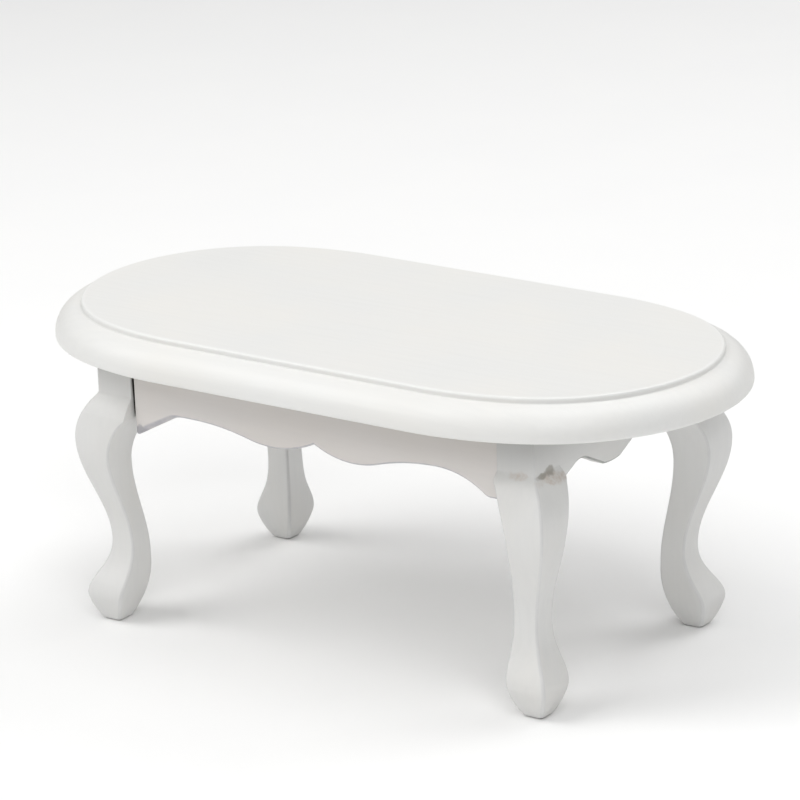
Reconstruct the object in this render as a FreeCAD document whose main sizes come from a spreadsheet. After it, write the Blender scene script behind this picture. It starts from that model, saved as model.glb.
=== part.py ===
import FreeCAD
import Part
import math
import os
import Sketcher

# Miniature dining table, 1:12 scale, in millimetres.
# A racetrack top with a moulded rim is glued on a frame of four scalloped aprons.
# The aprons butt against the square posts of four cabriole legs, and a peg joins each butt.
# The origin is on the floor under the middle of the table.
# X runs along the table, -Y is the front long side and Z is up.

vector = FreeCAD.Vector
X_AXIS = vector(1, 0, 0)
Y_AXIS = vector(0, 1, 0)
Z_AXIS = vector(0, 0, 1)

DRIVING_SIZES = {
    # whole table
    "table_length": 150.0,
    "table_width": 78.8,
    "table_height": 62.9,
    # top board: a raised panel inside a quarter-round rim
    "top_thickness": 7.3,
    "panel_rise": 1.2,
    "rim_inset": 5.4,
    "rim_round": 5.4,
    "panel_round": 0.5,
    "underside_round": 0.5,
    "nose_radius": 38.2,
    "shoulder_radius": 60.0,
    # frame, measured over the outer faces of the posts
    "frame_length": 103.8,
    "frame_width": 58.3,
    "post_size": 8.4,
    "post_foot": 47.3,
    # leg curve: depths in from, and reaches out from, the outer face of the post
    "knee_level": 38.4,
    "ankle_depth": 0.75,
    "ankle_level": 16.8,
    "toe_reach": 3.15,
    "toe_level": 5.6,
    "toe_under_reach": 2.6,
    "toe_under_level": 3.5,
    "sole_reach": 0.9,
    "sole_depth": 3.2,
    "heel_bend_depth": 5.6,
    "heel_bend_level": 5.7,
    "heel_depth": 6.4,
    "heel_level": 13.2,
    "waist_depth": 4.35,
    # the two left legs and the two right legs were sawn to slightly different knees and brackets
    "left_knee_reach": 3.7,
    "left_waist_level": 33.2,
    "left_bracket_radius": 14.5,
    "right_knee_reach": 4.3,
    "right_waist_level": 34.5,
    "right_bracket_radius": 18.0,
    # aprons
    "apron_thickness": 3.2,
    "apron_setback": 0.2,
    "apron_gap": 0.7,
    "apron_corner": 0.5,
    # lower edge of a long apron, sawn by eye, so its halves differ a little
    "notch_place": 0.8,
    "notch_level": 45.2,
    "lobe_level": 42.8,
    # right half: lobe, arch, and a curved flank down to the tab
    "lobe_place": 10.2,
    "arch_place": 29.4,
    "arch_level": 45.6,
    "tab_place": 41.6,
    "tab_level": 41.6,
    "tab_radius": 2.2,
    # left half: lobe, arch, and a straight flank that falls all the way to the end
    "left_lobe_place": 9.4,
    "left_arch_place": 28.9,
    "left_arch_level": 45.25,
    "flank_head_place": 32.4,
    "flank_head_radius": 7.0,
    "flank_foot_place": 42.4,
    "flank_foot_level": 40.0,
    # lower edge of an end apron, out from the middle of its lobe: lobe, arch and tab
    "end_lobe_shift": 2.6,
    "end_lobe_width": 5.6,
    "end_lobe_level": 42.95,
    "end_tip_level": 43.2,
    "end_arch_place": 10.5,
    "end_arch_level": 46.95,
    "end_arch_radius": 4.5,
    "end_tab_level": 43.4,
    "end_tab_place": 18.2,
    # pegs
    "peg_diameter": 1.5,
    "peg_length": 8.0,
    "bore_clearance": 0.1,
    "bore_relief": 0.3,
    "long_peg_level": 51.5,
    "end_peg_level": 48.0,
}

# how far an upright S curve holds its end directions, as a share of its rise
GENTLE_PULL = 0.36
ANKLE_PULL = 0.50
TOE_PULL = 0.32


def make_sheet(doc):
    """Write the driving sizes into a spreadsheet, one named cell for each."""
    sheet = doc.addObject("Spreadsheet::Sheet", "Sizes")
    for row, (name, size) in enumerate(DRIVING_SIZES.items(), start=1):
        sheet.set("A%d" % row, name)
        sheet.set("B%d" % row, str(size))
        sheet.setAlias("B%d" % row, name)
    doc.recompute()
    return sheet


def bind(target, expressions):
    """Bind properties of an object to expressions over the spreadsheet."""
    for path, expression in expressions.items():
        target.setExpression(path, expression)


def origin_plane(body, role):
    """Return one of a body's own origin planes."""
    return [plane for plane in body.Origin.OriginFeatures if plane.Role == role][0]


def new_sketch(body, name, role):
    """Make an empty sketch on one of a body's own origin planes."""
    sketch = body.newObject("Sketcher::SketchObject", name)
    sketch.AttachmentSupport = [(origin_plane(body, role), "")]
    sketch.MapMode = "FlatFace"
    return sketch


def edges_at_level(shape, level):
    """Name the edges that lie flat at one height."""
    names = []
    for index, edge in enumerate(shape.Edges, start=1):
        box = edge.BoundBox
        if abs(box.ZMin - level) < 1e-4 and abs(box.ZMax - level) < 1e-4:
            names.append("Edge%d" % index)
    return names


# ---------------------------------------------------------------- top board

def racetrack_sketch(body, name, sheet, inset, inset_name):
    """Draw the racetrack: two straights, four shoulder arcs and two nose arcs, all tangent.

    The inset version is a true offset, because every arc keeps its centre.
    """
    half_length = sheet.table_length / 2 - inset
    half_width = sheet.table_width / 2 - inset
    nose = sheet.nose_radius - inset
    shoulder = sheet.shoulder_radius - inset
    turn = math.acos((shoulder - half_width) / (shoulder - nose))
    nose_centre = half_length - nose
    straight_end = nose_centre - (shoulder - nose) * math.sin(turn)
    shoulder_centre = half_width - shoulder
    quarter = math.pi / 2

    def arc(centre_x, centre_y, radius, start, end):
        return Part.ArcOfCircle(Part.Circle(vector(centre_x, centre_y, 0), Z_AXIS, radius), start, end)

    sketch = new_sketch(body, name, "XY_Plane")
    outline = [
        Part.LineSegment(vector(-straight_end, -half_width, 0), vector(straight_end, -half_width, 0)),
        arc(straight_end, -shoulder_centre, shoulder, -quarter, turn - quarter),
        arc(nose_centre, 0, nose, turn - quarter, quarter - turn),
        arc(straight_end, shoulder_centre, shoulder, quarter - turn, quarter),
        Part.LineSegment(vector(straight_end, half_width, 0), vector(-straight_end, half_width, 0)),
        arc(-straight_end, shoulder_centre, shoulder, quarter, quarter + turn),
        arc(-nose_centre, 0, nose, quarter + turn, 3 * quarter - turn),
        arc(-straight_end, -shoulder_centre, shoulder, 3 * quarter - turn, 3 * quarter),
    ]
    sketch.addGeometry(outline, False)
    count = len(outline)
    for index in range(count):
        sketch.addConstraint(Sketcher.Constraint("Tangent", index, 2, (index + 1) % count, 1))
    for straight in (0, 4):
        sketch.addConstraint(Sketcher.Constraint("Horizontal", straight))
    for other in (3, 5, 7):
        sketch.addConstraint(Sketcher.Constraint("Equal", 1, other))
    sketch.addConstraint(Sketcher.Constraint("Equal", 2, 6))
    for nose_arc in (2, 6):
        sketch.addConstraint(Sketcher.Constraint("PointOnObject", nose_arc, 3, -1))

    def dimension(kind, label, expression, *reference):
        index = sketch.addConstraint(Sketcher.Constraint(kind, *reference))
        sketch.renameConstraint(index, label)
        sketch.setExpression("Constraints." + label, expression)

    reach = "Sizes.table_length / 2 - Sizes.nose_radius"
    edge = "Sizes.table_width / 2 - Sizes." + inset_name if inset_name else "Sizes.table_width / 2"
    less = " - Sizes." + inset_name if inset_name else ""
    dimension("Radius", "shoulder", "Sizes.shoulder_radius" + less, 1, shoulder)
    dimension("Radius", "nose", "Sizes.nose_radius" + less, 2, nose)
    dimension("DistanceX", "right_nose", reach, -1, 1, 2, 3, nose_centre)
    dimension("DistanceX", "left_nose", reach, 6, 3, -1, 1, nose_centre)
    dimension("DistanceY", "front_edge", edge, 0, 1, -1, 1, half_width)
    dimension("DistanceY", "back_edge", edge, -1, 1, 4, 1, half_width)
    return sketch


def round_edges(doc, body, name, feature, level, expression):
    """Round every edge of a feature that lies at one height."""
    fillet = body.newObject("PartDesign::Fillet", name)
    fillet.Base = (feature, edges_at_level(feature.Shape, level))
    fillet.setExpression("Radius", expression)
    doc.recompute()
    return fillet


def make_top(doc, sheet):
    """Make the top board: rim with a quarter-round edge, then the raised panel."""
    body = doc.addObject("PartDesign::Body", "table_top")
    body.Label = "table_top"
    rim_height = sheet.top_thickness - sheet.panel_rise

    rim_sketch = racetrack_sketch(body, "rim_outline", sheet, 0.0, "")
    rim = body.newObject("PartDesign::Pad", "rim")
    rim.Profile = rim_sketch
    rim.setExpression("Length", "Sizes.top_thickness - Sizes.panel_rise")
    doc.recompute()
    rim_round = round_edges(doc, body, "rim_quarter_round", rim, rim_height, "Sizes.rim_round")
    round_edges(doc, body, "rim_lower_round", rim_round, 0.0, "Sizes.underside_round")

    panel_sketch = racetrack_sketch(body, "panel_outline", sheet, sheet.rim_inset, "rim_inset")
    bind(panel_sketch, {"AttachmentOffset.Base.z": "Sizes.top_thickness - Sizes.panel_rise"})
    panel = body.newObject("PartDesign::Pad", "panel")
    panel.Profile = panel_sketch
    panel.setExpression("Length", "Sizes.panel_rise")
    doc.recompute()
    panel_round = round_edges(doc, body, "panel_edge_round", panel, sheet.top_thickness, "Sizes.panel_round")

    body.Tip = panel_round
    bind(body, {"Placement.Base.z": "Sizes.table_height - Sizes.top_thickness"})
    return body


# --------------------------------------------------------------------- legs

def three_point_arc(first, middle, last):
    """Make an arc edge through three points."""
    return Part.Arc(first, middle, last).toShape()


def upright_s_curve(first, last, first_pull, last_pull):
    """Make a curve that leaves and arrives upright, pulled along Z at each end."""
    curve = Part.BezierCurve()
    rise = last.z - first.z
    curve.setPoles([
        first,
        first + Z_AXIS * rise * first_pull,
        last - Z_AXIS * rise * last_pull,
        last,
    ])
    return curve.toShape()


def leg_outline(sheet, across, hand):
    """Draw the sawn side view of a left or right leg.

    Across points from the outer face of the post inwards.
    """
    def at(depth, level):
        return across * depth + Z_AXIS * level

    knee_reach = getattr(sheet, hand + "_knee_reach")
    waist_level = getattr(sheet, hand + "_waist_level")
    bracket_radius = getattr(sheet, hand + "_bracket_radius")
    frame_top = sheet.table_height - sheet.top_thickness
    knee_drop = sheet.post_foot - sheet.knee_level
    knee_radius = (knee_reach ** 2 + knee_drop ** 2) / (2 * knee_reach)
    knee_half_turn = math.asin(knee_drop / knee_radius) / 2
    knee_top = at(0, sheet.post_foot)
    knee_middle = at(
        knee_radius - knee_reach - knee_radius * math.cos(knee_half_turn),
        sheet.knee_level + knee_radius * math.sin(knee_half_turn),
    )
    knee = at(-knee_reach, sheet.knee_level)
    ankle = at(sheet.ankle_depth, sheet.ankle_level)
    toe = at(-sheet.toe_reach, sheet.toe_level)
    toe_under = at(-sheet.toe_under_reach, sheet.toe_under_level)
    sole_outer = at(-sheet.sole_reach, 0)
    sole_inner = at(sheet.sole_depth, 0)
    heel_bend = at(sheet.heel_bend_depth, sheet.heel_bend_level)
    heel = at(sheet.heel_depth, sheet.heel_level)
    waist = at(sheet.waist_depth, waist_level)

    bracket_turn = math.acos(1 - (sheet.post_size - sheet.waist_depth) / bracket_radius)
    bracket_middle = at(
        sheet.waist_depth + bracket_radius * (1 - math.cos(bracket_turn / 2)),
        waist_level + bracket_radius * math.sin(bracket_turn / 2),
    )
    bracket_top = at(sheet.post_size, waist_level + bracket_radius * math.sin(bracket_turn))

    edges = [
        Part.LineSegment(at(0, frame_top), knee_top).toShape(),
        three_point_arc(knee_top, knee_middle, knee),
        upright_s_curve(knee, ankle, GENTLE_PULL, GENTLE_PULL),
        upright_s_curve(ankle, toe, ANKLE_PULL, TOE_PULL),
        three_point_arc(toe, toe_under, sole_outer),
        Part.LineSegment(sole_outer, sole_inner).toShape(),
        three_point_arc(sole_inner, heel_bend, heel),
        upright_s_curve(heel, waist, GENTLE_PULL, GENTLE_PULL),
        three_point_arc(waist, bracket_middle, bracket_top),
        Part.LineSegment(bracket_top, at(sheet.post_size, frame_top)).toShape(),
        Part.LineSegment(at(sheet.post_size, frame_top), at(0, frame_top)).toShape(),
    ]
    return Part.Face(Part.Wire(edges))


def make_leg_blank(doc, sheet, hand):
    """Saw the outline of a left or right leg through a square blank from two sides.

    The sawn leg stands with the outer corner of its post over the origin.
    """
    saw_cuts = []
    for view, across, through in (("front", X_AXIS, Y_AXIS), ("side", Y_AXIS, X_AXIS)):
        name = "%s_leg_%s_cut" % (hand, view)
        outline = doc.addObject("Part::Feature", name + "_outline")
        outline.Shape = leg_outline(sheet, across, hand)
        saw_cut = doc.addObject("Part::Extrusion", name)
        saw_cut.Base = outline
        saw_cut.DirMode = "Custom"
        saw_cut.Dir = through
        bind(saw_cut, {
            "LengthFwd": "2 * Sizes.post_size",
            "LengthRev": "2 * Sizes.%s_knee_reach" % hand,
        })
        saw_cuts.append(saw_cut)
    sawn = doc.addObject("Part::Common", "sawn_%s_leg" % hand)
    sawn.Base, sawn.Tool = saw_cuts
    doc.recompute()
    return sawn


def make_leg(doc, blank, name, side_x, side_y):
    """Drill the two peg bores into a leg blank and stand the leg at its corner."""
    turn = {(-1, -1): 0, (1, -1): 90, (1, 1): 180, (-1, 1): 270}[(side_x, side_y)]
    long_bore_on_x = turn in (0, 180)
    bores = []
    for label, along_x, level in (
        ("long", long_bore_on_x, "Sizes.long_peg_level"),
        ("end", not long_bore_on_x, "Sizes.end_peg_level"),
    ):
        bore = doc.addObject("Part::Cylinder", "%s_%s_bore" % (name, label))
        direction = X_AXIS if along_x else Y_AXIS
        bore.Placement.Rotation = FreeCAD.Rotation(Z_AXIS, direction)
        start = "Sizes.post_size - Sizes.peg_length / 2 - Sizes.bore_relief"
        middle = "Sizes.apron_setback + Sizes.apron_thickness / 2"
        bind(bore, {
            "Radius": "(Sizes.peg_diameter + Sizes.bore_clearance) / 2",
            "Height": "Sizes.peg_length",
            "Placement.Base.x": start if along_x else middle,
            "Placement.Base.y": middle if along_x else start,
            "Placement.Base.z": level,
        })
        bores.append(bore)
    both_bores = doc.addObject("Part::MultiFuse", name + "_bores")
    both_bores.Shapes = bores
    leg = doc.addObject("Part::Cut", name)
    leg.Label = name
    leg.Base = blank
    leg.Tool = both_bores
    leg.Placement.Rotation = FreeCAD.Rotation(Z_AXIS, turn)
    bind(leg, {
        "Placement.Base.x": "%d * Sizes.frame_length / 2" % side_x,
        "Placement.Base.y": "%d * Sizes.frame_width / 2" % side_y,
    })
    return leg


# ------------------------------------------------------------------- aprons

def ogee(low, high, low_radius):
    """Join a low level point to a high level point with two arcs that meet smoothly.

    Both ends are level. The arc at the low end has the radius given.
    """
    run = high[0] - low[0]
    rise = high[1] - low[1]
    both_radii = (run ** 2 + rise ** 2) / (2 * rise)
    share = low_radius / both_radii
    turn = math.asin(abs(run) / both_radii)
    side = math.copysign(1, run)
    high_radius = both_radii - low_radius
    half_sine = side * math.sin(turn / 2)
    half_drop = 1 - math.cos(turn / 2)
    meeting = (low[0] + share * run, low[1] + share * rise)
    low_middle = (low[0] + low_radius * half_sine, low[1] + low_radius * half_drop)
    high_middle = (high[0] - high_radius * half_sine, high[1] - high_radius * half_drop)
    return [[low, low_middle, meeting], [meeting, high_middle, high]]


def reversed_pieces(pieces):
    """Run curve pieces the other way."""
    return [piece[::-1] for piece in pieces[::-1]]


def mirrored(pieces, middle):
    """Mirror curve pieces across an upright line and run them the other way."""
    return [[(2 * middle - along, level) for along, level in piece] for piece in reversed_pieces(pieces)]


def falling_arc(notch, lobe):
    """Draw the arc that falls from a notch and arrives level at a lobe; give its radius too."""
    run = lobe[0] - notch[0]
    drop = notch[1] - lobe[1]
    radius = (run ** 2 + drop ** 2) / (2 * drop)
    half_turn = math.asin(run / radius) / 2
    middle = (lobe[0] - radius * math.sin(half_turn), lobe[1] + radius * (1 - math.cos(half_turn)))
    return [notch, middle, lobe], radius


def long_apron_edge(sheet, left_gap):
    """Give the lower edge of a long apron from its left end to its right end.

    It is a cusped notch near the middle, with a lobe and an arch on each side. The right arch
    falls to a level tab, and the left one in a straight flank to the end.
    """
    half_length = sheet.frame_length / 2 - sheet.post_size
    notch = (sheet.notch_place, sheet.notch_level)

    lobe = (sheet.lobe_place, sheet.lobe_level)
    arch = (sheet.arch_place, sheet.arch_level)
    tab = (sheet.tab_place, sheet.tab_level)
    fall, lobe_radius = falling_arc(notch, lobe)
    right_half = [fall] + ogee(lobe, arch, lobe_radius)
    right_half += reversed_pieces(ogee(tab, arch, sheet.tab_radius))
    right_half.append([tab, (half_length, sheet.tab_level)])

    lobe = (-sheet.left_lobe_place, sheet.lobe_level)
    arch = (-sheet.left_arch_place, sheet.left_arch_level)
    fall, lobe_radius = falling_arc(notch, lobe)
    left_half = [fall] + ogee(lobe, arch, lobe_radius)
    head = (-sheet.flank_head_place, sheet.left_arch_level)
    foot = (-sheet.flank_foot_place, sheet.flank_foot_level)
    left_end = left_gap - half_length
    end = (left_end, height_on_line((head, foot), left_end))
    if left_gap:
        above_end = (left_end, sheet.left_arch_level)
        radii = [sheet.flank_head_radius, sheet.apron_corner]
        left_half += eased_line([arch, head, end, above_end], radii)[:-1]
    else:
        left_half += eased_line([arch, head, end], [sheet.flank_head_radius])
    return reversed_pieces(left_half) + right_half


def end_apron_edge(sheet):
    """Give the lower edge of an end apron from its left end to its right end.

    It is a broad shallow lobe, a little off the middle, between two arches with straight flanks.
    """
    half_length = sheet.frame_width / 2 - sheet.post_size
    middle = -sheet.end_lobe_shift
    tip = (middle + sheet.end_lobe_width / 2, sheet.end_tip_level)
    other_tip = (middle - sheet.end_lobe_width / 2, sheet.end_tip_level)
    crown = (middle + sheet.end_arch_place, sheet.end_arch_level)
    tab = (middle + sheet.end_tab_place, sheet.end_tab_level)
    half = eased_line([tip, crown, tab], [sheet.end_arch_radius])
    left_half = mirrored(half, middle)
    left_half[0][0] = (-half_length, height_on_line(left_half[0], -half_length))
    lobe = [other_tip, (middle, sheet.end_lobe_level), tip]
    return left_half + [lobe] + half + [[tab, (half_length, sheet.end_tab_level)]]


def eased_line(stops, radii):
    """Join stops with straights, and ease each corner between them with an arc of its own radius."""
    points = [vector(along, level, 0) for along, level in stops]
    pieces = []
    start = stops[0]
    for before, corner, after, radius in zip(points, points[1:], points[2:], radii):
        back = (before - corner).normalize()
        onward = (after - corner).normalize()
        inward = (back + onward).normalize()
        half_angle = back.getAngle(onward) / 2
        cut = radius / math.tan(half_angle)
        sagitta = radius * (1 / math.sin(half_angle) - 1)
        arc = [corner + back * cut, corner + inward * sagitta, corner + onward * cut]
        arc = [(point.x, point.y) for point in arc]
        pieces += [[start, arc[0]], arc]
        start = arc[-1]
    return pieces + [[start, stops[-1]]]


def height_on_line(line, along):
    """Give the level of a straight at one place along the apron."""
    (first_along, first_level), (last_along, last_level) = line
    slope = (last_level - first_level) / (last_along - first_along)
    return first_level + slope * (along - first_along)


def curve_piece(points):
    """Make a straight from two points or an arc from three, in sketch coordinates."""
    corners = [vector(along, level, 0) for along, level in points]
    if len(corners) == 2:
        return Part.LineSegment(*corners)
    return Part.Arc(*corners)


def near(point, target):
    """Say whether a sketch point lies on a target given as (along, level)."""
    return math.hypot(point.x - target[0], point.y - target[1]) < 1e-6


def drill_end(doc, body, sheet, side, reach, level):
    """Drill a peg bore into one end of an apron."""
    name = "right_bore" if side > 0 else "left_bore"
    sketch = new_sketch(body, name + "_circle", "YZ_Plane")
    radius = (sheet.peg_diameter + sheet.bore_clearance) / 2
    middle = sheet.apron_thickness / 2
    sketch.addGeometry(Part.Circle(vector(middle, sheet.end_peg_level, 0), Z_AXIS, radius), False)
    for kind, reference, expression in (
        ("Radius", (0, radius), "(Sizes.peg_diameter + Sizes.bore_clearance) / 2"),
        ("DistanceX", (-1, 1, 0, 3, middle), "Sizes.apron_thickness / 2"),
        ("DistanceY", (-1, 1, 0, 3, sheet.end_peg_level), level),
    ):
        index = sketch.addConstraint(Sketcher.Constraint(kind, *reference))
        sketch.setExpression("Constraints[%d]" % index, expression)
    sketch.setExpression("AttachmentOffset.Base.z", reach)
    doc.recompute()
    pocket = body.newObject("PartDesign::Pocket", name)
    pocket.Profile = sketch
    pocket.Reversed = side < 0
    pocket.setExpression("Length", "Sizes.peg_length / 2 + Sizes.bore_relief")
    doc.recompute()
    return pocket


def make_apron(doc, sheet, name, lower_edge, left_reach, right_reach, peg_level, turn, outer_face):
    """Make an apron: a scalloped board with a peg bore in each end.

    The board is drawn with its outer face on the XZ plane and then turned to its side of the frame.
    """
    body = doc.addObject("PartDesign::Body", name)
    body.Label = name
    frame_top = sheet.table_height - sheet.top_thickness
    sketch = new_sketch(body, "outline", "XZ_Plane")
    left, right = lower_edge[0][0], lower_edge[-1][-1]
    pieces = lower_edge + [
        [right, (right[0], frame_top)],
        [(right[0], frame_top), (left[0], frame_top)],
        [(left[0], frame_top), left],
    ]
    sketch.addGeometry([curve_piece(piece) for piece in pieces], False)
    count = len(pieces)
    for index, piece in enumerate(pieces):
        following = (index + 1) % count
        # an arc that runs clockwise is stored the other way round
        end = 2 if near(sketch.getPoint(index, 2), piece[-1]) else 1
        start = 1 if near(sketch.getPoint(following, 1), piece[-1]) else 2
        sketch.addConstraint(Sketcher.Constraint("Coincident", index, end, following, start))
    top = count - 2
    for reference, expression in (
        (("DistanceY", -1, 1, top, 1, frame_top), "Sizes.table_height - Sizes.top_thickness"),
        (("DistanceX", -1, 1, top, 1, right[0]), right_reach),
        (("DistanceX", top, 2, -1, 1, -left[0]), left_reach),
    ):
        index = sketch.addConstraint(Sketcher.Constraint(*reference))
        sketch.setExpression("Constraints[%d]" % index, expression)

    board = body.newObject("PartDesign::Pad", "board")
    board.Profile = sketch
    board.Reversed = True
    board.setExpression("Length", "Sizes.apron_thickness")
    doc.recompute()
    drill_end(doc, body, sheet, 1, right_reach, peg_level)
    body.Tip = drill_end(doc, body, sheet, -1, "-(%s)" % left_reach, peg_level)
    body.Placement.Rotation = FreeCAD.Rotation(Z_AXIS, turn)
    bind(body, outer_face)
    return body


def make_aprons(doc, sheet):
    """Make the four aprons. The front one stops short of its left post and leaves an open joint."""
    long_reach = "Sizes.frame_length / 2 - Sizes.post_size"
    end_reach = "Sizes.frame_width / 2 - Sizes.post_size"
    long_face = "Sizes.frame_width / 2 - Sizes.apron_setback"
    end_face = "Sizes.frame_length / 2 - Sizes.apron_setback"
    gapped_reach = long_reach + " - Sizes.apron_gap"
    return [
        make_apron(doc, sheet, "long_apron_front", long_apron_edge(sheet, sheet.apron_gap), gapped_reach,
                   long_reach, "Sizes.long_peg_level", 0, {"Placement.Base.y": "-(%s)" % long_face}),
        make_apron(doc, sheet, "long_apron_back", long_apron_edge(sheet, 0), long_reach, long_reach,
                   "Sizes.long_peg_level", 180, {"Placement.Base.y": long_face}),
        make_apron(doc, sheet, "end_apron_right", end_apron_edge(sheet), end_reach, end_reach,
                   "Sizes.end_peg_level", 90, {"Placement.Base.x": end_face}),
        make_apron(doc, sheet, "end_apron_left", end_apron_edge(sheet), end_reach, end_reach,
                   "Sizes.end_peg_level", 270, {"Placement.Base.x": "-(%s)" % end_face}),
    ]


# --------------------------------------------------------------------- pegs

def make_peg(doc, name, side_x, side_y, along_x):
    """Make the round peg that joins one apron end to one post, centred on the joint."""
    peg = doc.addObject("Part::Cylinder", name)
    peg.Label = name
    half_frame = {"x": "Sizes.frame_length / 2", "y": "Sizes.frame_width / 2"}
    side = {"x": side_x, "y": side_y}
    along, across = ("x", "y") if along_x else ("y", "x")
    joint = "%d * (%s - Sizes.post_size)" % (side[along], half_frame[along])
    board_middle = "(Sizes.apron_setback + Sizes.apron_thickness / 2)"
    peg.Placement.Rotation = FreeCAD.Rotation(Z_AXIS, X_AXIS if along_x else Y_AXIS)
    bind(peg, {
        "Radius": "Sizes.peg_diameter / 2",
        "Height": "Sizes.peg_length",
        "Placement.Base." + along: joint + " - Sizes.peg_length / 2",
        "Placement.Base." + across: "%d * (%s - %s)" % (side[across], half_frame[across], board_middle),
        "Placement.Base.z": "Sizes.long_peg_level" if along_x else "Sizes.end_peg_level",
    })
    return peg


# ----------------------------------------------------------------- assembly

def main():
    """Build the table, check every object and write one STEP file for each sub-part."""
    doc = FreeCAD.newDocument("miniature_dining_table")
    sheet = make_sheet(doc)
    top = make_top(doc, sheet)
    parts = [top] + make_aprons(doc, sheet)

    blanks = {hand: make_leg_blank(doc, sheet, hand) for hand in ("left", "right")}
    for row, side_y in (("front", -1), ("back", 1)):
        for side, side_x in (("left", -1), ("right", 1)):
            corner = "%s_%s" % (row, side)
            parts.append(make_leg(doc, blanks[side], "leg_" + corner, side_x, side_y))
            parts.append(make_peg(doc, "long_peg_" + corner, side_x, side_y, True))
            parts.append(make_peg(doc, "end_peg_" + corner, side_x, side_y, False))
    doc.recompute()

    for item in doc.Objects:
        if "Invalid" in item.State or "Error" in item.State:
            raise RuntimeError("%s did not build: %s" % (item.Label, item.State))
    for part in parts:
        if part.Shape.isNull() or not part.Shape.isValid() or not part.Shape.Solids:
            raise RuntimeError("%s has no valid solid" % part.Label)

    os.makedirs("parts", exist_ok=True)
    for part in parts:
        part.Shape.exportStep(os.path.join("parts", part.Label + ".step"))
        print("%-22s %10.2f mm3, %d solid" % (part.Label, part.Shape.Volume, len(part.Shape.Solids)))


main()
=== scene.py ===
import math

import bmesh
import bpy
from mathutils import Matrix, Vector


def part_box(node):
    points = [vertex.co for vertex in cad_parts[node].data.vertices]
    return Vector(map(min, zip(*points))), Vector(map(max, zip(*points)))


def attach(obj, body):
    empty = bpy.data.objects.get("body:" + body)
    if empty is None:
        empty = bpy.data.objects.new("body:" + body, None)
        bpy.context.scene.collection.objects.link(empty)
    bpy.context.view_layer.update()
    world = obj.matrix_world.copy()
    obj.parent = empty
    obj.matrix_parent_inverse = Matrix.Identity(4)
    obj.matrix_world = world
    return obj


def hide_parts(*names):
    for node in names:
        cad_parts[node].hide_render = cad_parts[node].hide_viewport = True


# Miniature dining table in white satin paint, in metres, with the origin on the floor under its middle.
# X runs along the table, -Y is the front long side and Z is up.

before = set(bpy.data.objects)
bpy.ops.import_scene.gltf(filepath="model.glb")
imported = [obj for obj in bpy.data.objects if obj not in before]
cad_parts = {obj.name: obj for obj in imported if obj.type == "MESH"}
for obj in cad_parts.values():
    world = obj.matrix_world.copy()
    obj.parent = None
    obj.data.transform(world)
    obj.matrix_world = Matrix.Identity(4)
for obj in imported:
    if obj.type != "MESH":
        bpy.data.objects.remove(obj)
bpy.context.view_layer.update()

MM = 0.001
QUARTER = math.pi / 2

# top board
NOSE_RADIUS = 38.2 * MM
SHOULDER_RADIUS = 60.0 * MM
PANEL_RISE = 1.2 * MM
RIM_INSET = 5.4 * MM
RIM_ROUND = 5.4 * MM
PANEL_ROUND = 0.5 * MM
UNDERSIDE_ROUND = 0.5 * MM
STEP_FILLET = 0.28 * MM
END_TURN = math.radians(40)
NOSE_STEPS, SHOULDER_STEPS, STRAIGHT_STEPS, END_STEPS = 12, 18, 26, 28
UNDERSIDE_MARGINS = (2.2 * MM, 1.2 * MM)
PANEL_MARGINS = (1.0 * MM, 2.2 * MM)
STEP_MARGIN = 0.05 * MM

# shares of the "arris" attribute: how much of the arris tone the paint takes there, with -1 for the bottom
# of a groove, which gets painted shade
UNDERSIDE_ARRIS_SHARE, PANEL_ARRIS_SHARE, GROOVE_SHADE = 0.6, 0.8, -1.0

# legs: levels, depths in from and reaches out from the outer face of the post
POST_SIZE = 8.4 * MM
POST_FOOT = 47.3 * MM
KNEE_LEVEL = 38.4 * MM
ANKLE_DEPTH, ANKLE_LEVEL = 0.75 * MM, 16.8 * MM
TOE_REACH, TOE_LEVEL = 3.15 * MM, 5.6 * MM
TOE_UNDER_REACH, TOE_UNDER_LEVEL = 2.6 * MM, 3.5 * MM
SOLE_REACH, SOLE_DEPTH = 0.9 * MM, 3.2 * MM
HEEL_BEND_DEPTH, HEEL_BEND_LEVEL = 5.6 * MM, 5.7 * MM
HEEL_DEPTH, HEEL_LEVEL = 6.4 * MM, 13.2 * MM
WAIST_DEPTH = 4.35 * MM
GENTLE_PULL, ANKLE_PULL, TOE_PULL = 0.36, 0.50, 0.32
POST_ARRIS = 0.35 * MM
LEG_ARRIS = 0.55 * MM
FOOT_ARRIS = 0.8 * MM
SOLE_ARRIS = 0.6 * MM
JOINT_ARRIS = 0.15 * MM
CREASE_EASE = 0.45 * MM
TOE_RUN = 2 * MM
BETWEEN_PEGS = 49.7 * MM
ABOVE_PEGS = [53.4 * MM, 54.4 * MM, 55.2 * MM]
PAST_BORES = [3.9 * MM, 5.0 * MM, 6.1 * MM, 7.2 * MM]
CLOSEST_ROWS = 0.06 * MM

# aprons
APRON_THICKNESS = 3.2 * MM
APRON_SETBACK = 0.2 * MM
APRON_CORNER = 0.5 * MM
END_ARRIS = 0.15 * MM
LOWER_ARRIS = 0.5 * MM
WORN_ARRIS = 1.1 * MM
END_WORN_ARRIS = 1.5 * MM
FLANK_EASE = 1.2 * MM
WORN_FADE = 1.6 * MM
CORNER_ARRIS = 0.35 * MM
ROW_ABOVE_ARRIS = 1.0 * MM
ARRIS_FADE = 3.0 * MM
NOTCH_PLACE, NOTCH_LEVEL = 0.8 * MM, 45.2 * MM
LOBE_PLACE, LOBE_LEVEL = 10.2 * MM, 42.8 * MM
ARCH_PLACE, ARCH_LEVEL = 29.4 * MM, 45.6 * MM
TAB_PLACE, TAB_LEVEL, TAB_RADIUS = 41.6 * MM, 41.6 * MM, 2.2 * MM
LEFT_LOBE_PLACE = 9.4 * MM
LEFT_ARCH_PLACE, LEFT_ARCH_LEVEL = 28.9 * MM, 45.25 * MM
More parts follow.
